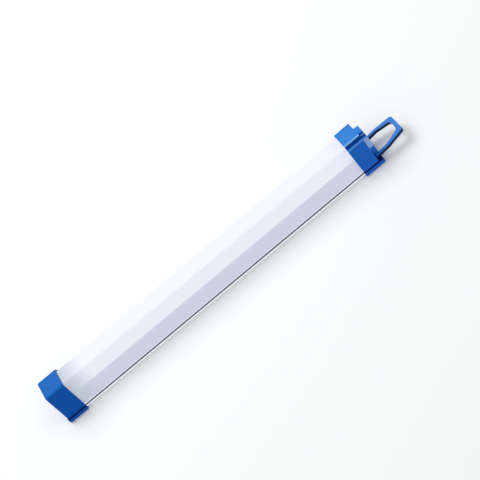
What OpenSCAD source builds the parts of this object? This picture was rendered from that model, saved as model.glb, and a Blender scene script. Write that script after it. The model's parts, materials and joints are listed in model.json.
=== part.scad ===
// Rechargeable LED light tube: a milky trapezoid tube on a white back profile, a blue cap at each
// end, and a swinging hanging hook on one of the caps. +X points to the hook, +Z away from the back.

/* [Tube] */
// Length over the two caps
tube_len = 320; // [280:1:480]
// Width across the flanges at the back
tube_w = 40; // [40:0.5:46]
// Height from the back to the top face
tube_h = 30; // [30:0.5:36]
// Width of the flat top between its two ridges
ridge_w = 17.3; // [17:0.1:19]
// Rounding of the long ridges
ridge_r = 2.4; // [1.8:0.1:3]
// Height of the flange along the back edge of each cap
flange_h = 4.1; // [3.9:0.1:4.6]
// Width of the ledge on top of the flange
flange_ledge = 1.05; // [0.6:0.05:1.3]

/* [Caps] */
// Length of the plain cap
plain_cap_len = 18.3; // [17:0.1:26]
// Length of the cap with the hook
hook_cap_len = 18.5; // [18:0.1:24]
// Wall of a cap round the housing
cap_wall = 1.65; // [1.4:0.05:1.8]
// Floor of a cap under the housing
cap_floor = 1.3; // [1.2:0.05:1.5]
// Thickness of a cap's end wall
end_wall = 2; // [1.6:0.1:2.4]
// Depth of the housing inside the plain cap
plain_plug = 6.5; // [6:0.1:8]
// Depth of the housing inside the hook cap
hook_plug = 5; // [4.6:0.1:6]
// Thickness of the sealing gaskets
gasket_t = 1; // [0.8:0.1:1.2]
// Depth of the two recesses that leave room for the hook
recess_depth = 4.2; // [4:0.1:4.6]
// Width of the block that the hook straddles
block_w = 15.6; // [15.2:0.1:16]
// Sideways place of the block's centre
block_y = -6.6; // [-6.8:0.1:-6.4]
// Depth of the step along the near ridge of the hook cap
groove_step = 1.1; // [0.6:0.1:1.2]

/* [Housing] */
// Wall of the diffuser
diffuser_wall = 1.2; // [1:0.1:1.4]
// Floor of the back profile
profile_floor = 1; // [0.9:0.1:1.2]
// Height of the bead along each edge of the back profile
bead_h = 2.2; // [2:0.1:2.3]
// Half the inside width of the tray in the back profile
tray_half = 9; // [8.9:0.1:9.2]
// Wall of the tray
tray_wall = 0.9; // [0.8:0.05:1]

/* [Light engine and battery] */
// Diameter of a cell
cell_d = 14; // [13.5:0.1:14.1]
// Length of a cell
cell_len = 50; // [44:1:53]
// Number of cells
cell_count = 4; // [2:1:4]
// Distance between two cells
cell_gap = 4; // [3.6:0.1:6]
// Thickness of the circuit boards
board_t = 1; // [0.8:0.1:1.2]
// Number of light chips in each row
chips_in_row = 28; // [10:1:34]
// Diameter of a holding magnet
magnet_d = 8; // [6:0.5:9]
// Thickness of a holding magnet
magnet_t = 2.4; // [2:0.1:2.6]

/* [Hook] */
// Distance from the pivot to the hook's outer edge
hook_reach = 27.7; // [24:0.1:34]
// Width over the hook's legs at the pivot
hook_base_w = 20.6; // [20.5:0.1:21]
// Width over the hook's outer corners
hook_outer_w = 16.4; // [15:0.1:19]
// Width of a leg at the pivot
hook_leg_w = 2.2; // [2:0.1:2.2]
// Width of a leg beside the outer bar
hook_shoulder_w = 3.2; // [2.6:0.1:3.6]
// Width of the outer bar
hook_bar_w = 3.4; // [3:0.1:4.5]
// Thickness of the hook
hook_t = 3.5; // [3:0.1:3.6]
// Outer corner radius of the hook
hook_corner_r = 2.2; // [1.6:0.1:3]
// Angle of the hook above the back at rest
hook_tilt = 8.5; // [0:0.5:12]
// Radius of the hook's pins
pin_r = 1.1; // [0.9:0.05:1.2]
// Height of the hook's axis above the back
pivot_z = 6.5; // [6.2:0.1:7]
// Distance of the hook's axis from the cap's end
pivot_inset = 2.05; // [2:0.05:2.3]

/* [Controls] */
// Radius of the power button
button_r = 3.2; // [2.6:0.1:3.3]
// Sideways place of the power button
button_y = -4.8; // [-5:0.1:-4.6]
// Height of the power button
button_z = 16; // [15.5:0.1:16.2]
// Travel of the power button
button_travel = 0.6; // [0.4:0.1:0.8]
// Sideways place of the charging port
port_y = 8.5; // [8.4:0.1:8.5]
// Height of the charging port
port_z = 10; // [9.9:0.1:10.1]
// Length of the indicator window along the cap
window_x = 4; // [3:0.1:4.1]
// Height of the indicator window along the slope of the side
window_u = 9.6; // [8:0.1:9.8]

/* [Hidden] */
$fn = 64;

// Clearances
fit_gap = 0.1;         // between pieces that slot together
run_gap = 0.05;        // round a pin or a plunger
eps = 0.01;            // overrun of a cut

// Slope of the sides
slope_rise = tube_h - flange_h;
foot_half = tube_w/2 - flange_ledge;
slope_run = foot_half - ridge_w/2;
slope = atan(slope_run/slope_rise);
facet_len = slope_rise/cos(slope);
crease_w = 0.5;
crease_depth = 0.25;

// Stations along the tube; the origin is the middle of the footprint, hook included
hook_span = hook_reach*cos(hook_tilt) + hook_t/2*sin(hook_tilt);
overall_len = tube_len - pivot_inset + hook_span;
tube_start = -overall_len/2;
tube_end = tube_start + tube_len;
housing_start = tube_start + plain_cap_len - plain_plug;
housing_end = tube_end - hook_cap_len + hook_plug;
pivot_x = tube_end - pivot_inset;
recess_x = tube_end - recess_depth;

// Housing section
housing_inset = cap_wall + fit_gap;
housing_z = cap_floor + fit_gap;
housing_half = tube_w/2 - 1.5 - fit_gap;
floor_z = housing_z + profile_floor;
bead_z = housing_z + bead_h;
bead_w = 1.1;
cavity_inset = cap_wall + 1.55;
cavity_floor = 3.9;
foot_z = bead_z + 0.6;           // underside of the diffuser's outer edge
foot_t = 0.5;
foot_out = 17.9;
lip_in = housing_half - bead_w - fit_gap - 1.4;
lip_out = housing_half - bead_w - fit_gap;

// Light engine
cell_z = floor_z + run_gap + cell_d/2;
board_z = cell_z + cell_d/2 + run_gap;
rail_t = 1.1;
rail_w = 1.4;
rail_top_w = 0.7;
rail_top_t = 0.8;
chip_len = 3.5;
chip_w = 2.8;
chip_t = 0.7;
chip_row_y = 4;
board_len = housing_end - housing_start - 2;
chip_margin = 10;

// Battery
foam_len = 8;
cells_start = housing_start + 4 + foam_len;
cell_pitch = cell_len + cell_gap;
cells_end = cells_start + cell_count*cell_pitch - cell_gap;
cradle_side_w = 1.2;
cradle_side_h = 2.6;
cradle_half = tray_half - 0.15;
cradle_plate_t = 2.8;
strip_t = 0.2;
tab_half = 3;
lead_r = 0.6;

// Electronics
control_z = floor_z + run_gap + cradle_side_h;
control_start = cells_end + 11;
control_end = housing_end - 3;
port_board_x = recess_x - end_wall - 5.1 - board_t;
port_board_front = port_board_x + board_t;
socket_w = 8.94;
socket_h = 3.2;
socket_t = 0.3;
socket_end = recess_x - 0.5;
boss_r = 1.7;
boss_places = [[12, 6.3], [-12, 6.3], [3.5, 23.5]];
board_screw_r = 0.8;
board_screw_head_r = 1.5;
board_screw_len = 3.6;
block_cavity_z = [10, 25];
block_side = 2;
groove_top_y = -6.1;
groove_wall_run = 0.25;
groove_floor_w = 1.65;
groove_floor_drop = 0.85;
notch_depth = 3;
notch_in = 0.8;          // how far the notch reaches in past the groove's top edge

// Controls
button_flange_r = button_r + 0.7;
button_flange_t = 1;
button_proud = 0.7;
plunger_r = 1.5;
switch_w = 6;
switch_t = 3.4;
flange_back_x = tube_end - end_wall - 0.2 - button_flange_t;
window_t = 1.2;
window_top_u = facet_len - 3.9;
pipe_u = 5.5;
pipe_top_u = window_top_u - 1.4;
pipe_t = 1.1;
pipe_v = cavity_inset + fit_gap;

// Screws that hold the caps
screw_r = 1.1;
screw_head_r = 2;
screw_head_h = 1;
screw_sink = 0.1;
screw_y = 11.9;
screw_len = 5;
screw_rib = [9.9, 13.9];
screw_rib_h = 3.8;

// Half width of the sloping side at height z, set inwards by inset
function side_half(z, inset) = ridge_w/2 + (tube_h - z)*tan(slope) - inset/cos(slope);

// ---------- shared shapes ----------

// Extrudes a drawing of the cross-section along the tube
module along(start, length) {
    translate([start, 0, 0]) rotate([90, 0, 90]) linear_extrude(length) children();
}

// Trapezoid with rounded ridges, set inwards from the caps' outside
module trapezoid(inset, round_r, base_z) {
    centre_z = tube_h - inset - round_r;
    centre_y = side_half(centre_z, inset + round_r);
    touch_y = centre_y + round_r*cos(slope);
    touch_z = centre_z + round_r*sin(slope);
    base_y = side_half(base_z, inset);
    polygon([[base_y, base_z], [touch_y, touch_z], [centre_y, tube_h - inset],
        [-centre_y, tube_h - inset], [-touch_y, touch_z], [-base_y, base_z]]);
    for (side = [-1, 1])
        translate([side*centre_y, centre_z]) circle(round_r);
}

// Filled outline of the housing, grown by gap: the caps slot over it
module housing_outline(gap) {
    trapezoid(housing_inset - gap, ridge_r + gap, bead_z);
    translate([-housing_half - gap, housing_z - gap])
        square([2*(housing_half + gap), bead_h + 2*gap]);
    translate([-foot_out - gap, bead_z])
        square([2*(foot_out + gap), foot_z + foot_t + gap - bead_z]);
}

// Room inside a cap past the housing
module cap_cavity() {
    trapezoid(cavity_inset, 1, cavity_floor);
}

// Places children on the near side: X along the tube, Y up the slope, Z outwards
module on_near_side() {
    translate([0, -foot_half, flange_h]) rotate([90 - slope, 0, 0]) children();
}

// The dark line above the flange of a cap
module crease(start, length) {
    for (side = [-1, 1])
        translate([start, side*foot_half - crease_depth, flange_h])
            cube([length, 2*crease_depth, crease_w]);
}

// Holes and countersinks for a cap's two screws
module screw_holes(x) {
    for (side = [-1, 1])
        translate([x, side*screw_y, 0]) {
            translate([0, 0, -eps]) cylinder(r=screw_r + run_gap, h=cap_floor + screw_len);
            translate([0, 0, -eps]) cylinder(r=screw_head_r + run_gap, h=screw_sink + eps);
            translate([0, 0, screw_sink])
                cylinder(r1=screw_head_r + run_gap, r2=screw_r + run_gap, h=screw_head_h);
        }
}

// Pockets for a cap's two magnets
module magnet_pockets(x) {
    for (side = [-1, 1])
        translate([x, side*magnet_y, -eps]) cylinder(d=magnet_d + 2*run_gap, h=magnet_t + run_gap + eps);
}

// A round wire from one point to another
module wire(from, to, r) {
    run = to - from;
    length = norm(run);
    translate(from)
        rotate([0, acos(run.z/length), atan2(run.y, run.x)])
            cylinder(r=r, h=length, $fn=16);
}

// ---------- caps ----------

magnet_y = 10.5;
plain_magnet_x = tube_start + 5.6;
hook_magnet_x = tube_end - 6.6;
plain_screw_x = housing_start + 2.6;
hook_screw_x = housing_end - 2.5;

// Cutter that rounds the plain end along the edge of a surface at height 0
module end_rounding() {
    rotate([90, 0, 0]) linear_extrude(4*tube_w, center=true)
        difference() {
            translate([tube_start - 1, -ridge_r]) square([ridge_r + 1, ridge_r + 1]);
            translate([tube_start + ridge_r, -ridge_r]) circle(ridge_r);
        }
}

// Upper part of the plain cap: its end runs over into its top and sides in a rounding
module plain_cap_body() {
    difference() {
        along(tube_start, plain_cap_len) trapezoid(0, ridge_r, flange_h);
        translate([0, 0, tube_h]) end_rounding();
        on_near_side() end_rounding();
        mirror([0, 1, 0]) on_near_side() end_rounding();
    }
}

module plain_cap() {
    color("#1d6cc1")
        difference() {
            union() {
                plain_cap_body();
                translate([tube_start, -tube_w/2, 0]) cube([plain_cap_len, tube_w, flange_h]);
            }
            crease(tube_start - eps, plain_cap_len + 2*eps);
            along(housing_start - gasket_t, plain_plug + gasket_t + eps) housing_outline(fit_gap);
            along(tube_start + end_wall + 0.4, plain_cap_len) cap_cavity();
            screw_holes(plain_screw_x);
            magnet_pockets(plain_magnet_x);
        }
}

// Finger groove along the near ridge: a step below the top face, then a floor that runs out on the
// side; past the recess plane, clear of the housing, it becomes a deeper notch
module ridge_groove() {
    top_y = groove_top_y;
    low_u = window_top_u + 0.1;
    low = [-foot_half + low_u*sin(slope), flange_h + low_u*cos(slope)];
    outside = [low.x, tube_h + 1];
    along(tube_end - hook_cap_len - eps, hook_cap_len + 2*eps)
        polygon([[top_y, tube_h + 1], [top_y, tube_h], [top_y - groove_wall_run, tube_h - groove_step],
            [top_y - groove_wall_run - groove_floor_w, tube_h - groove_step - groove_floor_drop],
            low, outside]);
    along(recess_x, recess_depth + 1)
        polygon([[top_y + notch_in, tube_h + 1], [top_y + notch_in - 0.1, tube_h - notch_depth],
            [low.x + 0.9, tube_h - notch_depth], low, outside]);
}

// Room for the indicator window and its light pipe
module window_pocket() {
    on_near_side() {
        translate([tube_end - window_x - fit_gap, window_top_u - window_u - fit_gap, -window_t - fit_gap])
            cube([window_x + 1, window_u + 2*fit_gap, window_t + 2]);
        translate([tube_end - end_wall - 1.8, pipe_top_u - pipe_u - fit_gap, -pipe_v - pipe_t])
            cube([1.8, pipe_u + 2*fit_gap, pipe_v + pipe_t]);
    }
}

module port_outline(grow) {
    half = (socket_w - socket_h)/2;
    for (side = [-1, 1])
        translate([port_y + side*half, port_z]) circle(socket_h/2 + grow);
    translate([port_y - half, port_z - socket_h/2 - grow]) square([2*half, socket_h + 2*grow]);
}

module hook_cap() {
    block_near = block_y - block_w/2;
    block_far = block_y + block_w/2;
    color("#3f8be0")
        difference() {
            union() {
                difference() {
                    union() {
                        along(tube_end - hook_cap_len, hook_cap_len) trapezoid(0, ridge_r, flange_h);
                        translate([tube_end - hook_cap_len, -tube_w/2, 0])
                            cube([hook_cap_len, tube_w, flange_h]);
                    }
                    crease(tube_end - hook_cap_len - eps, hook_cap_len + 2*eps);
                    along(tube_end - hook_cap_len - eps, hook_plug + gasket_t + eps)
                        housing_outline(fit_gap);
                    along(tube_end - hook_cap_len, hook_cap_len - recess_depth - end_wall) cap_cavity();
                    along(recess_x - end_wall - eps, recess_depth + eps) intersection() {
                        cap_cavity();
                        translate([block_near + block_side, block_cavity_z[0]])
                            square([block_w - 2*block_side, block_cavity_z[1] - block_cavity_z[0]]);
                    }
                    translate([recess_x, block_far, flange_h])
                        cube([recess_depth + 1, tube_w, tube_h]);
                    translate([recess_x, block_near - tube_w, flange_h])
                        cube([recess_depth + 1, tube_w, tube_h]);
                    ridge_groove();
                }
                for (place = boss_places)
                    translate([port_board_front, place.x, place.y]) rotate([0, 90, 0])
                        cylinder(r=boss_r, h=recess_x - end_wall - port_board_front + eps);
            }
            for (place = boss_places)
                translate([port_board_front - eps, place.x, place.y]) rotate([0, 90, 0])
                    cylinder(r=board_screw_r + run_gap, h=board_screw_len);
            window_pocket();
            along(recess_x - end_wall - 1, end_wall + 2) port_outline(fit_gap);
            translate([recess_x - end_wall - 1, port_y, anchor_peg_z]) rotate([0, 90, 0])
                cylinder(r=anchor_peg_r + run_gap, h=end_wall + 2);
            translate([flange_back_x, button_y, button_z]) rotate([0, 90, 0])
                cylinder(r=button_r + fit_gap, h=10);
            translate([pivot_x, 0, pivot_z]) rotate([90, 0, 0])
                translate([0, 0, -block_far - eps]) cylinder(r=pin_r + run_gap, h=pin_depth + eps);
            translate([pivot_x, 0, pivot_z]) rotate([90, 0, 0])
                translate([0, 0, -block_near - pin_depth]) cylinder(r=pin_r + run_gap, h=pin_depth + eps);
            screw_holes(hook_screw_x);
            magnet_pockets(hook_magnet_x);
        }
}

// ---------- housing ----------

module diffuser() {
    color("white")
        along(housing_start, housing_end - housing_start)
            difference() {
                union() {
                    trapezoid(housing_inset, ridge_r, foot_z);
                    for (side = [0, 1])
                        mirror([side, 0]) {
                            translate([lip_in, foot_z]) square([foot_out - lip_in, foot_t]);
                            translate([lip_in, floor_z + run_gap])
                                square([lip_out - lip_in, foot_z - floor_z]);
                        }
                }
                trapezoid(housing_inset + diffuser_wall, ridge_r - diffuser_wall, foot_z + foot_t);
                translate([-lip_in, foot_z - 1]) square([2*lip_in, foot_t + 1 + eps]);
            }
}

module back_profile_half() {
    translate([0, housing_z]) square([housing_half, profile_floor]);
    translate([housing_half - bead_w, housing_z]) square([bead_w, bead_h]);
    translate([lip_in - fit_gap - 0.9, floor_z - eps]) square([0.9, 1]);
    translate([screw_rib[0] - eps, floor_z - eps]) square([screw_rib[1] - screw_rib[0], screw_rib_h]);
    translate([tray_half, floor_z - eps])
        square([tray_wall, board_z + board_t + fit_gap + rail_top_t - floor_z]);
    translate([tray_half - rail_w, board_z - rail_t]) square([rail_w + eps, rail_t]);
    translate([tray_half - rail_top_w, board_z + board_t + fit_gap])
        square([rail_top_w + eps, rail_top_t]);
}

module back_profile() {
    color("#e6e8f0")
        difference() {
            along(housing_start, housing_end - housing_start) {
                back_profile_half();
                mirror([1, 0]) back_profile_half();
            }
            for (x = [plain_screw_x, hook_screw_x])
                for (side = [-1, 1])
                    translate([x, side*screw_y, housing_z - eps])
                        cylinder(r=screw_r + run_gap, h=screw_len);
        }
}

module gasket(start) {
    color("#2b2d31")
        along(start, gasket_t)
            difference() {
                housing_outline(0);
                cap_cavity();
            }
}

module plain_gasket() {
    gasket(housing_start - gasket_t);
}

module hook_gasket() {
    gasket(housing_end);
}

// ---------- light engine ----------

module led_board() {
    color("#f2f4f2")
        translate([housing_start + 1, -tray_half + fit_gap, board_z])
            cube([board_len, 2*(tray_half - fit_gap), board_t]);
}

module led_chips() {
    pitch = (board_len - 2*chip_margin)/(chips_in_row - 1);
    color("#f3d77a")
        for (i = [0:chips_in_row - 1])
            for (side = [-1, 1])
                translate([housing_start + 1 + chip_margin + i*pitch - chip_len/2,
                    side*chip_row_y - chip_w/2, board_z + board_t])
                    cube([chip_len, chip_w, chip_t]);
}

// ---------- battery ----------

module cell(index) {
    color("#3d8f5a")
        translate([cells_start + index*cell_pitch, 0, cell_z]) rotate([0, 90, 0])
            cylinder(d=cell_d, h=cell_len);
}

// A tray with a plate before, between and after the cells
module cell_cradle() {
    rail_start = cells_start - cradle_plate_t - 0.6;
    color("#26282c") {
        for (side = [-1, 1])
            translate([rail_start, side*(cradle_half - cradle_side_w/2) - cradle_side_w/2,
                floor_z + run_gap])
                cube([control_end - rail_start, cradle_side_w, cradle_side_h]);
        for (i = [0:cell_count])
            translate([cells_start + i*cell_pitch - cell_gap/2 - cradle_plate_t/2,
                -cradle_half, floor_z + run_gap])
                cube([cradle_plate_t, 2*cradle_half, cell_d - 3.4]);
    }
}

// Nickel strip along one side of the battery, with a tab on one end of each cell
module bus_strip(side, tab_offset) {
    tab_top = cell_z + cell_d/2 - 0.6;
    color("#c9ccd0") {
        translate([cells_start - 1, side*(tray_half - rail_w - 0.4) - strip_t/2, tab_top - 2.2])
            cube([cells_end - cells_start + 3, strip_t, 1.6]);
        for (i = [0:cell_count - 1])
            translate([cells_start + i*cell_pitch + tab_offset, min(0, side*(tray_half - rail_w - 0.4)),
                tab_top - 2.2])
                cube([strip_t, tray_half - rail_w - 0.4, 1.6]);
    }
}

module positive_strip() {
    bus_strip(1, cell_len);
}

module negative_strip() {
    bus_strip(-1, -strip_t);
}

module foam_pad() {
    color("#4a4d52")
        translate([cells_start - cell_gap/2 - cradle_plate_t/2 - 0.3 - foam_len + 1, -8, floor_z + run_gap])
            cube([foam_len - 1, 16, cell_d - 2]);
}

module protection_board() {
    color("#1f6b3a")
        translate([cells_end + 4, -6, floor_z + cradle_side_h + run_gap]) cube([board_t, 12, 8.4]);
}

// ---------- electronics ----------

module control_board() {
    color("#1f6b3a")
        translate([control_start, -cradle_half, control_z])
            cube([control_end - control_start, 2*cradle_half, board_t]);
}

// Charging chip, driver chip, coil, capacitors and the two plugs on the control board
module control_parts() {
    top_z = control_z + board_t;
    color("#1c1d20") {
        translate([control_start + 8, -5, top_z]) cube([7, 6, 1.5]);
        translate([control_start + 20, 1, top_z]) cube([5, 5, 1.2]);
        translate([control_start + 29, -6.5, top_z]) cube([7.3, 7.3, 4]);
        for (i = [0:2])
            translate([control_start + 19 + 3*i, -7, top_z]) cube([1.6, 3, 1.4]);
    }
    color("#b9bcc2")
        translate([control_start + 29, 5, top_z]) cylinder(r=2.4, h=5.6);
    color("#e8e4d4") {
        translate([control_start + 1, -4, top_z]) cube([4, 8, 4.2]);
        translate([control_end - 5, -4.5, top_z]) cube([4, 9, 3.2]);
    }
}

module battery_leads() {
    plug_z = control_z + board_t + 3;
    for (side = [-1, 1])
        color(side > 0 ? "#c4252b" : "#22242a")
            wire([cells_end + 4 + board_t, side*2, plug_z], [control_start + 1, side*2, plug_z], lead_r);
}

module led_leads() {
    for (side = [-1, 1])
        color(side > 0 ? "#c4252b" : "#22242a")
            wire([control_end - 9, side*6.6, control_z + board_t], [control_end - 9, side*6.6, board_z], lead_r);
}

module board_leads() {
    color("#d8d9dc")
        for (i = [-1:1])
            wire([control_end - 1, 2.5*i, control_z + board_t + 1.8],
                [port_board_x, 2.5*i, control_z + board_t + 1.8], lead_r);
}

module port_board() {
    color("#1f6b3a")
        difference() {
            along(port_board_x, board_t) trapezoid(cavity_inset + 0.3, 1, cavity_floor + 0.2);
            for (place = boss_places)
                translate([port_board_x - eps, place.x, place.y]) rotate([0, 90, 0])
                    cylinder(r=board_screw_r + run_gap, h=board_t + 2*eps);
        }
}

module port_board_screws() {
    color("#9da2a8")
        for (place = boss_places)
            translate([port_board_x, place.x, place.y]) rotate([0, 90, 0]) {
                cylinder(r=board_screw_r, h=board_screw_len);
                translate([0, 0, -0.9]) cylinder(r=board_screw_head_r, h=0.9);
            }
}

module usb_socket() {
    color("#c2c6cb")
        difference() {
            along(port_board_front, socket_end - port_board_front) port_outline(0);
            along(port_board_front + 1, socket_end) port_outline(-socket_t);
        }
}

module usb_tongue() {
    color("#202226")
        translate([port_board_front + 1, port_y - 3.2, port_z - 0.35])
            cube([socket_end - port_board_front - 1.8, 6.4, 0.7]);
}

module button_switch() {
    color("#2b2d31")
        difference() {
            translate([port_board_front, button_y - switch_w/2, button_z - switch_w/2])
                cube([switch_t, switch_w, switch_w]);
            translate([port_board_front + 1, button_y, button_z]) rotate([0, 90, 0])
                cylinder(r=plunger_r + run_gap, h=switch_t);
        }
}

module switch_plunger() {
    start = port_board_front + 1.2 + button_travel;
    color("#d8d4c8")
        translate([start, button_y, button_z]) rotate([0, 90, 0])
            cylinder(r=plunger_r, h=flange_back_x - start);
}

// Domed button with a flange that keeps it behind the cap's wall
module power_button() {
    dome_r = 12;
    face_x = tube_end + button_proud;
    color("#e9ebee")
        translate([flange_back_x, button_y, button_z]) rotate([0, 90, 0]) {
            cylinder(r=button_flange_r, h=button_flange_t);
            intersection() {
                cylinder(r=button_r, h=face_x - flange_back_x);
                translate([0, 0, face_x - flange_back_x - dome_r]) sphere(dome_r, $fn=128);
            }
        }
}

module status_leds() {
    color("#f4f1d8")
        on_near_side()
            for (i = [0:3])
                translate([port_board_front, pipe_top_u - pipe_u + 0.2 + 1.4*i, -pipe_v - pipe_t])
                    cube([0.6, 0.9, pipe_t]);
}

// Window on the near side, with a light pipe that reaches back to the status lights
module indicator_window() {
    color("#9fb2e0")
        on_near_side() {
            translate([tube_end - window_x, window_top_u - window_u, -window_t])
                cube([window_x, window_u, window_t]);
            translate([tube_end - end_wall - 1.6, pipe_top_u - pipe_u, -pipe_v - pipe_t + eps])
                cube([1.4, pipe_u, pipe_v + pipe_t - window_t]);
            translate([port_board_front + 0.8, pipe_top_u - pipe_u, -pipe_v - pipe_t])
                cube([tube_end - end_wall - 0.2 - port_board_front - 0.8, pipe_u, pipe_t]);
        }
}

// ---------- charging port cover ----------

cover_w = 9.4;
cover_t = 1.1;
cover_x = recess_x + run_gap;
cover_low_z = port_z - 3;
cover_axis_z = port_z + 4;
anchor_low_z = cover_axis_z + cover_t/2 + 0.1;
anchor_h = 2;
anchor_peg_z = anchor_low_z + anchor_h/2;
anchor_peg_r = 0.8;

// Flap with a rounded upper edge to turn on, and a shallow plug that fits the port's opening
module port_cover() {
    color("#1a3d8f") {
        translate([cover_x, port_y - cover_w/2, cover_low_z])
            cube([cover_t, cover_w, cover_axis_z - cover_low_z]);
        translate([cover_x + cover_t/2, port_y, cover_axis_z]) rotate([90, 0, 0])
            cylinder(d=cover_t, h=cover_w, center=true);
        along(recess_x - 0.35, 0.35 + run_gap + eps) port_outline(-0.25);
    }
}

// Part of the same rubber that stays on the wall, held by a peg
module cover_anchor() {
    color("#1a3d8f") {
        translate([cover_x, port_y - cover_w/2, anchor_low_z]) cube([cover_t, cover_w, anchor_h]);
        translate([recess_x - end_wall + 0.2, port_y, anchor_peg_z]) rotate([0, 90, 0])
            cylinder(r=anchor_peg_r, h=end_wall);
    }
}

// ---------- hook ----------

pin_depth = 2.4;
hook_straight = 11;
hook_inner_r = 3.2;

// Outline of the hook in its own plane, X away from the pivot: straight legs that lean in past the
// cap, and a bar across with rounded corners
module hook_outline(base_half, outer_half, reach, corner_r) {
    lean = atan((base_half - outer_half)/(reach - hook_straight));
    centre_x = reach - corner_r;
    line_half = base_half - (centre_x - hook_straight)*tan(lean);
    centre_half = line_half - corner_r/cos(lean);
    touch = [centre_x + corner_r*sin(lean), centre_half + corner_r*cos(lean)];
    polygon([[0, -base_half], [hook_straight, -base_half], [touch.x, -touch.y], [reach, -centre_half],
        [reach, centre_half], touch, [hook_straight, base_half], [0, base_half]]);
    for (side = [-1, 1])
        translate([centre_x, side*centre_half]) circle(corner_r);
}

module hook() {
    base_half = hook_base_w/2;
    outer_half = hook_outer_w/2;
    pin_len = pin_depth - 0.2;
    color("#3a80dc")
        translate([pivot_x, block_y, pivot_z]) rotate([0, -hook_tilt, 0]) {
            translate([0, 0, -hook_t/2]) linear_extrude(hook_t)
                difference() {
                    hook_outline(base_half, outer_half, hook_reach, hook_corner_r);
                    translate([-eps, 0])
                        hook_outline(base_half - hook_leg_w, outer_half - hook_shoulder_w,
                            hook_reach - hook_bar_w, hook_inner_r);
                }
            for (side = [-1, 1])
                rotate([90, 0, 0]) {
                    translate([0, 0, side*(base_half - hook_leg_w/2)])
                        cylinder(d=hook_t, h=hook_leg_w, center=true);
                    translate([0, 0, side*(base_half - hook_leg_w - pin_len/2)])
                        cylinder(r=pin_r, h=pin_len, center=true);
                }
        }
}

// ---------- magnets and screws ----------

module magnets(x) {
    color("#8d9299")
        for (side = [-1, 1])
            translate([x, side*magnet_y, 0]) cylinder(d=magnet_d, h=magnet_t);
}

module plain_magnets() {
    magnets(plain_magnet_x);
}

module hook_magnets() {
    magnets(hook_magnet_x);
}

module cap_screws() {
    color("#a8acb2")
        for (x = [plain_screw_x, hook_screw_x])
            for (side = [-1, 1])
                translate([x, side*screw_y, screw_sink]) {
                    cylinder(r1=screw_head_r, r2=screw_r, h=screw_head_h);
                    cylinder(r=screw_r, h=screw_len);
                }
}

plain_cap();
hook_cap();
diffuser();
back_profile();
plain_gasket();
hook_gasket();
led_board();
led_chips();
cell(0);  // cell_1
cell(1);  // cell_2
cell(2);  // cell_3
cell(3);  // cell_4
cell_cradle();
positive_strip();
negative_strip();
foam_pad();
protection_board();
battery_leads();
led_leads();
control_board();
control_parts();
board_leads();
port_board();
port_board_screws();
usb_socket();
usb_tongue();
port_cover();
cover_anchor();
button_switch();
switch_plunger();
power_button();
status_leds();
indicator_window();
hook();
plain_magnets();
hook_magnets();
cap_screws();
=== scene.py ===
"""Rechargeable LED light tube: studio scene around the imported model."""
import json
import math

import bpy
from mathutils import Matrix, Vector


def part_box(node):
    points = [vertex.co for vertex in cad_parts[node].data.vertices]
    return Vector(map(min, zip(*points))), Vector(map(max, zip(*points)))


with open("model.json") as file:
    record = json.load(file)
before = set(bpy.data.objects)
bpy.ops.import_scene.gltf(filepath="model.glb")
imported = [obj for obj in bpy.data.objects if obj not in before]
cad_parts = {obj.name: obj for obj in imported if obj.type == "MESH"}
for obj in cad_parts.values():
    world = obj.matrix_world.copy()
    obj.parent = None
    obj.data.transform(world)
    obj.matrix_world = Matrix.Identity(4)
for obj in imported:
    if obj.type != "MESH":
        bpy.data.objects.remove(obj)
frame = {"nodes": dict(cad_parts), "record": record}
MM = 0.001


def write_size():
    """Updates the view layer."""
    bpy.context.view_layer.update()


write_size()

# ---------- places in the frame ----------

tube_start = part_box("plain_cap")[0].x
tube_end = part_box("hook_cap")[1].x
diffuser_low, diffuser_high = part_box("diffuser")
board_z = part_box("led_board")[0].z

# Heights above the bottom of the diffuser's lip where the painted light changes: end of the painted shade
# on the lip in its gap, end of the painted highlight on the foot's rim, and end of the painted glow on the
# back profile's bead
LIP_SHADE_END = 1.62 * MM
RIM_HIGHLIGHT_END = 2.3 * MM
BEAD_GLOW_END = 0.7 * MM

# Heights of the painted shade line in the crease above a cap's flange, and the lowest height of the finger
# groove's painted bands
CREASE_LOW = 4.0 * MM
CREASE_HIGH = 4.65 * MM
GROOVE_LOW = 25.9 * MM

# Painted bands of the finger groove across the tube (highlight on the top edge, shade on the floor, highlight
# on the lower edge): from, to and colour
GROOVE_HIGHLIGHT_AND_SHADE_BANDS = ((-6.5 * MM, -5.7 * MM, (0.22, 0.55, 0.95)),
                (-9.0 * MM, -6.5 * MM, (0.0, 0.035, 0.24)),
                (-10.3 * MM, -9.4 * MM, (0.07, 0.25, 0.72)))


# ---------- node helpers ----------

def new_material(name):
    """An empty node material with a Principled surface; returns it with its nodes, links and shader."""
    material = bpy.data.materials.new(name)
    material.use_nodes = True
    nodes = material.node_tree.nodes
    links = material.node_tree.links
    return material, nodes, links, nodes["Principled BSDF"]


def position(nodes):
    """Object coordinates, which are the frame's metres."""
    return nodes.new("ShaderNodeTexCoord").outputs["Object"]


def noise(nodes, links, scale, detail=3.0):
    texture = nodes.new("ShaderNodeTexNoise")
    texture.inputs["Scale"].default_value = scale
    texture.inputs["Detail"].default_value = detail
    links.new(position(nodes), texture.inputs["Vector"])
    return texture.outputs["Fac"]


def axes_of(nodes, links, vector):
    """The X, Y and Z sockets of a vector."""
    split = nodes.new("ShaderNodeSeparateXYZ")
    links.new(vector, split.inputs["Vector"])
    return split.outputs["X"], split.outputs["Y"], split.outputs["Z"]


def product(nodes, links, first, second):
    node = nodes.new("ShaderNodeMath")
    node.operation = "MULTIPLY"
    links.new(first, node.inputs[0])
    links.new(second, node.inputs[1])
    return node.outputs[0]


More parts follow.
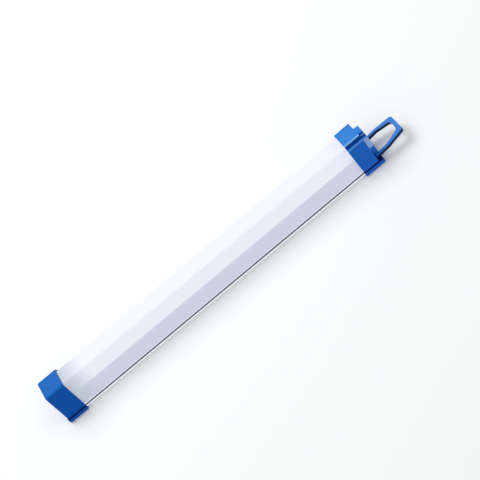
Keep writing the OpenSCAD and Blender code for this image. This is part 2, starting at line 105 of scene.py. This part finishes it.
def remap(nodes, links, value, low, high, to_low, to_high):
    """Value from low..high to to_low..to_high, smoothly."""
    node = nodes.new("ShaderNodeMapRange")
    node.interpolation_type = "SMOOTHSTEP"
    for name, number in (("From Min", low), ("From Max", high), ("To Min", to_low), ("To Max", to_high)):
        node.inputs[name].default_value = number
    links.new(value, node.inputs["Value"])
    return node.outputs["Result"]


def mix_color(nodes, links, factor, first, second):
    """Colour between two; each is a socket or a colour."""
    node = nodes.new("ShaderNodeMix")
    node.data_type = "RGBA"
    links.new(factor, node.inputs["Factor"])
    for socket, value in ((node.inputs[6], first), (node.inputs[7], second)):
        if isinstance(value, (tuple, list)):
            socket.default_value = (*value, 1.0)
        else:
            links.new(value, socket)
    return node.outputs[2]


def bump(nodes, links, shader, height, strength, distance):
    node = nodes.new("ShaderNodeBump")
    node.inputs["Strength"].default_value = strength
    node.inputs["Distance"].default_value = distance
    links.new(height, node.inputs["Height"])
    links.new(node.outputs["Normal"], shader.inputs["Normal"])


def moulded(name, color, darker=0.94, roughness=0.4, grain=1400.0, strength=0.06, specular=0.5,
            upright_shade=None, detail=None):
    """Moulded plastic: a faint cloud in the colour, fine grain and uneven gloss; the optional colour of
    upright faces is painted shade on them, and detail paints over the colour by position."""
    material, nodes, links, shader = new_material(name)
    cloud = remap(nodes, links, noise(nodes, links, 35.0), 0.35, 0.65, 0, 1)
    surface = mix_color(nodes, links, cloud, tuple(c * darker for c in color), color)
    # Painted shade: upright faces get the darker colour
    if upright_shade:
        normal_z = axes_of(nodes, links, nodes.new("ShaderNodeTexCoord").outputs["Normal"])[2]
        facing_up = remap(nodes, links, normal_z, 0.3, 0.8, 0, 1)
        surface = mix_color(nodes, links, facing_up, upright_shade, surface)
    if detail:
        surface = detail(nodes, links, surface)
    links.new(surface, shader.inputs["Base Color"])
    links.new(remap(nodes, links, noise(nodes, links, 220.0), 0.3, 0.7, roughness - 0.05, roughness + 0.05),
              shader.inputs["Roughness"])
    shader.inputs["Specular IOR Level"].default_value = specular
    bump(nodes, links, shader, noise(nodes, links, grain), strength, 0.0002)
    return material


def band(nodes, links, value, low, high, soft):
    """1 between low and high, 0 outside."""
    rise = remap(nodes, links, value, low - soft, low + soft, 0, 1)
    fall = remap(nodes, links, value, high - soft, high + soft, 1, 0)
    return product(nodes, links, rise, fall)


def crease_shade(nodes, links, surface):
    """Painted shade: a dark line in the crease above the flange of a cap."""
    height = axes_of(nodes, links, position(nodes))[2]
    line = band(nodes, links, height, CREASE_LOW, CREASE_HIGH, 0.06 * MM)
    return mix_color(nodes, links, line, surface, (0.0, 0.012, 0.12))


def groove_highlights_and_shade(nodes, links, surface):
    """Painted shade in the crease, and the painted highlights on the edges and painted shade on the floor of
    the finger groove.
    """
    surface = crease_shade(nodes, links, surface)
    _, across, height = axes_of(nodes, links, position(nodes))
    high_up = remap(nodes, links, height, GROOVE_LOW, GROOVE_LOW + 0.4 * MM, 0, 1)
    for low, high, color in GROOVE_HIGHLIGHT_AND_SHADE_BANDS:
        line = product(nodes, links, band(nodes, links, across, low, high, 0.1 * MM), high_up)
        surface = mix_color(nodes, links, line, surface, color)
    return surface


def metal(name, color, roughness):
    material, nodes, links, shader = new_material(name)
    shader.inputs["Metallic"].default_value = 1.0
    scratches = noise(nodes, links, 600.0)
    worn = tuple(c * 0.8 for c in color)
    links.new(mix_color(nodes, links, scratches, worn, color), shader.inputs["Base Color"])
    links.new(remap(nodes, links, scratches, 0.3, 0.7, roughness - 0.08, roughness + 0.08),
              shader.inputs["Roughness"])
    return material


# ---------- materials ----------

def opal_diffuser():
    """Milky cover whose glow is painted by emission: bright above the light board, painted shade below it and
    beside the caps, a painted highlight on the foot's rim, and painted shade, nearly black, on the lip that
    slots into the profile."""
    material, nodes, links, shader = new_material("opal_diffuser")
    along, _, height = axes_of(nodes, links, position(nodes))
    # Painted glow and shade: emission stands in for the board's light, brighter above the board, dimmer below
    # it and towards the caps
    above = remap(nodes, links, height, board_z - 1.2 * MM, board_z + 1.2 * MM, 0, 1)
    lip_shade_end_z = diffuser_low.z + LIP_SHADE_END
    rim_highlight_end_z = diffuser_low.z + RIM_HIGHLIGHT_END
    outside = remap(nodes, links, height, lip_shade_end_z, lip_shade_end_z + 0.1 * MM, 0, 1)
    from_start = remap(nodes, links, along, diffuser_low.x + 5 * MM, diffuser_low.x + 32 * MM, 0, 1)
    from_end = remap(nodes, links, along, diffuser_high.x - 18 * MM, diffuser_high.x - 3 * MM, 1, 0)
    below = mix_color(nodes, links, from_start, (0.36, 0.40, 0.47), (0.45, 0.48, 0.59))
    over = mix_color(nodes, links, from_start, (0.36, 0.40, 0.47), (0.66, 0.69, 0.75))
    over = mix_color(nodes, links, from_end, (0.60, 0.62, 0.74), over)
    glow = mix_color(nodes, links, above, below, over)
    # Painted highlight on the foot's rim
    rim = remap(nodes, links, height, rim_highlight_end_z, rim_highlight_end_z + 0.3 * MM, 1, 0)
    glow = mix_color(nodes, links, rim, glow, (0.50, 0.53, 0.64))
    # Painted shade on the lip in the gap by the bead: nearly black
    glow = mix_color(nodes, links, outside, (0.02, 0.02, 0.025), glow)
    links.new(glow, shader.inputs["Emission Color"])
    shader.inputs["Emission Strength"].default_value = 1.0
    # Painted shade: darker base colour on the lip
    body = mix_color(nodes, links, outside, (0.12, 0.12, 0.14), (0.20, 0.20, 0.22))
    links.new(body, shader.inputs["Base Color"])
    shader.inputs["Roughness"].default_value = 0.36
    shader.inputs["Specular IOR Level"].default_value = 0.1
    bump(nodes, links, shader, noise(nodes, links, 900.0), 0.03, 0.0001)
    return material


def lit_profile():
    """White satin profile; a painted glow on its bead stands in for the light inside, and painted shade,
    nearly black, covers the bead's top and all above it.
    """
    material = moulded("lit_profile", (0.74, 0.75, 0.79), darker=0.97, roughness=0.42, specular=0.2)
    nodes, links = material.node_tree.nodes, material.node_tree.links
    shader = nodes["Principled BSDF"]
    height = axes_of(nodes, links, position(nodes))[2]
    bead_glow_end_z = diffuser_low.z + BEAD_GLOW_END
    # Painted glow on the bead below this height, painted shade above it
    bead = remap(nodes, links, height, bead_glow_end_z, bead_glow_end_z + 0.15 * MM, 1, 0)
    plain = shader.inputs["Base Color"].links[0].from_socket
    links.new(mix_color(nodes, links, bead, (0.03, 0.03, 0.035), plain), shader.inputs["Base Color"])
    links.new(mix_color(nodes, links, bead, (0, 0, 0), (0.30, 0.31, 0.33)), shader.inputs["Emission Color"])
    shader.inputs["Emission Strength"].default_value = 1.0
    return material


def window_plastic():
    """Translucent pale blue lens over the status lights."""
    material, nodes, links, shader = new_material("window_plastic")
    cloud = noise(nodes, links, 400.0)
    tint = mix_color(nodes, links, cloud, (0.22, 0.36, 0.74), (0.30, 0.44, 0.80))
    links.new(tint, shader.inputs["Base Color"])
    shader.inputs["Roughness"].default_value = 0.28
    shader.inputs["Subsurface Weight"].default_value = 0.4
    shader.inputs["Subsurface Scale"].default_value = 0.002
    return material


def circuit_board(name, mask, trace):
    """Solder mask over faint traces."""
    material, nodes, links, shader = new_material(name)
    bricks = nodes.new("ShaderNodeTexBrick")
    bricks.inputs["Scale"].default_value = 260.0
    bricks.inputs["Mortar Size"].default_value = 0.012
    bricks.inputs["Color1"].default_value = (*mask, 1)
    bricks.inputs["Color2"].default_value = (*(c * 0.93 for c in mask), 1)
    bricks.inputs["Mortar"].default_value = (*trace, 1)
    links.new(position(nodes), bricks.inputs["Vector"])
    links.new(bricks.outputs["Color"], shader.inputs["Base Color"])
    shader.inputs["Roughness"].default_value = 0.35
    return material


# The colours for upright faces are painted shade; the crease and groove details paint shade and highlights
MATERIALS = {
    "blue": moulded("blue_plastic", (0.006, 0.125, 0.460), roughness=0.42, specular=0.05,
                     upright_shade=(0.003, 0.085, 0.420), detail=crease_shade),
    "blue_light": moulded("light_blue_plastic", (0.030, 0.210, 0.640), roughness=0.40, specular=0.08,
                           upright_shade=(0.010, 0.125, 0.560), detail=groove_highlights_and_shade),
    "blue_hook": moulded("hook_plastic", (0.028, 0.190, 0.600), roughness=0.36, specular=0.1,
                         upright_shade=(0.002, 0.022, 0.110)),
    "milky": opal_diffuser(),
    "white_plastic": moulded("button_white", (0.74, 0.75, 0.79), darker=0.97, roughness=0.42),
    "window": window_plastic(),
    "dark_rubber": moulded("dark_rubber", (0.022, 0.022, 0.024), roughness=0.75, strength=0.2),
    "blue_rubber": moulded("blue_rubber", (0.012, 0.045, 0.22), roughness=0.65, strength=0.15),
    "white_board": circuit_board("white_board", (0.80, 0.81, 0.79), (0.62, 0.63, 0.61)),
    "green_board": circuit_board("green_board", (0.015, 0.13, 0.05), (0.05, 0.25, 0.10)),
    "led_chip": moulded("led_chip", (0.85, 0.66, 0.18), roughness=0.3),
    "cell_wrap": moulded("cell_wrap", (0.04, 0.28, 0.10), roughness=0.28),
    "black_plastic": moulded("black_plastic", (0.018, 0.018, 0.020), roughness=0.5),
    "nickel": metal("nickel", (0.62, 0.60, 0.56), 0.3),
    "foam": moulded("foam", (0.06, 0.06, 0.068), roughness=0.9, grain=700.0, strength=0.8),
    "wire": moulded("wire", (0.45, 0.02, 0.02), roughness=0.45),
    "steel": metal("steel", (0.60, 0.61, 0.63), 0.28),
    "magnet": metal("magnet", (0.52, 0.53, 0.55), 0.22),
}


# ---------- finish of the CAD nodes ----------

def dress(name, slot, edge=None):
    """Gives a node its material and, when an edge width is given, softened edges."""
    node = frame["nodes"][name]
    node.data.materials.clear()
    node.data.materials.append(MATERIALS[slot])
    if edge:
        weld = node.modifiers.new("weld", "WELD")
        weld.merge_threshold = 0.00001
        bevel = node.modifiers.new("soft_edges", "BEVEL")
        bevel.width = edge * MM
        bevel.segments = 3
        bevel.limit_method = "ANGLE"
        bevel.angle_limit = math.radians(28)
        bevel.harden_normals = False


EDGES = {"plain_cap": 0.22, "hook_cap": 0.25, "hook": 0.3, "power_button": 0.2, "indicator_window": 0.12}

for entry in frame["record"]["subparts"]:
    dress(entry["node"], entry["material_slot"], EDGES.get(entry["node"]))

profile = frame["nodes"]["back_profile"]
profile.data.materials[0] = lit_profile()


# ---------- camera ----------

CAMERA_DISTANCE = 0.937
CAMERA_ELEVATION = math.radians(53.0)
CAMERA_YAW = math.radians(3.82)
CAMERA_ROLL = math.radians(-39.88)
LENS = 88.6


def add_camera():
    """Looks down across the near side, turned so that the tube climbs to the right."""
    middle = (tube_start + tube_end) / 2
    target = Vector((middle + 33.3 * MM, 11.8 * MM, 0))
    back = Vector((math.sin(CAMERA_YAW),
                   -math.cos(CAMERA_YAW) * math.cos(CAMERA_ELEVATION),
                   math.cos(CAMERA_YAW) * math.sin(CAMERA_ELEVATION)))
    level_right = Vector((0, math.sin(CAMERA_ELEVATION), math.cos(CAMERA_ELEVATION))).cross(back).normalized()
    level_up = back.cross(level_right)
    right = level_right * math.cos(CAMERA_ROLL) + level_up * math.sin(CAMERA_ROLL)
    up = level_up * math.cos(CAMERA_ROLL) - level_right * math.sin(CAMERA_ROLL)
    data = bpy.data.cameras.new("camera")
    data.lens = LENS
    data.sensor_width = 36
    camera = bpy.data.objects.new("camera", data)
    camera.matrix_world = Matrix.Translation(target + back * CAMERA_DISTANCE) @ Matrix(
        (right, up, back)).transposed().to_4x4()
    bpy.context.scene.collection.objects.link(camera)
    bpy.context.scene.camera = camera


# ---------- stage and light ----------

def add_floor():
    bpy.ops.mesh.primitive_plane_add(size=12, location=(0, 0, -0.1 * MM))
    floor = bpy.context.object
    floor.name = "floor"
    material, nodes, links, shader = new_material("floor_paper")
    shader.inputs["Base Color"].default_value = (0.87, 0.875, 0.87, 1)
    shader.inputs["Roughness"].default_value = 0.9
    shader.inputs["Specular IOR Level"].default_value = 0.1
    floor.data.materials.append(material)


def add_area(name, location, aim, size, energy, color=(1, 1, 1)):
    data = bpy.data.lights.new(name, "AREA")
    data.shape = "DISK"
    data.size = size
    data.energy = energy
    data.color = color
    light = bpy.data.objects.new(name, data)
    light.location = location
    light.rotation_euler = (Vector(aim) - Vector(location)).to_track_quat("-Z", "Y").to_euler()
    bpy.context.scene.collection.objects.link(light)


def add_world(strength):
    world = bpy.data.worlds.new("studio")
    world.use_nodes = True
    background = world.node_tree.nodes["Background"]
    background.inputs["Color"].default_value = (0.97, 0.98, 1.0, 1)
    background.inputs["Strength"].default_value = strength
    bpy.context.scene.world = world


add_camera()
add_floor()
add_area("key", (-0.5, 1.1, 1.7), (0, 0, 0), 1.5, 28)
add_world(0.68)
bpy.context.scene.view_settings.view_transform = "Standard"

write_size()
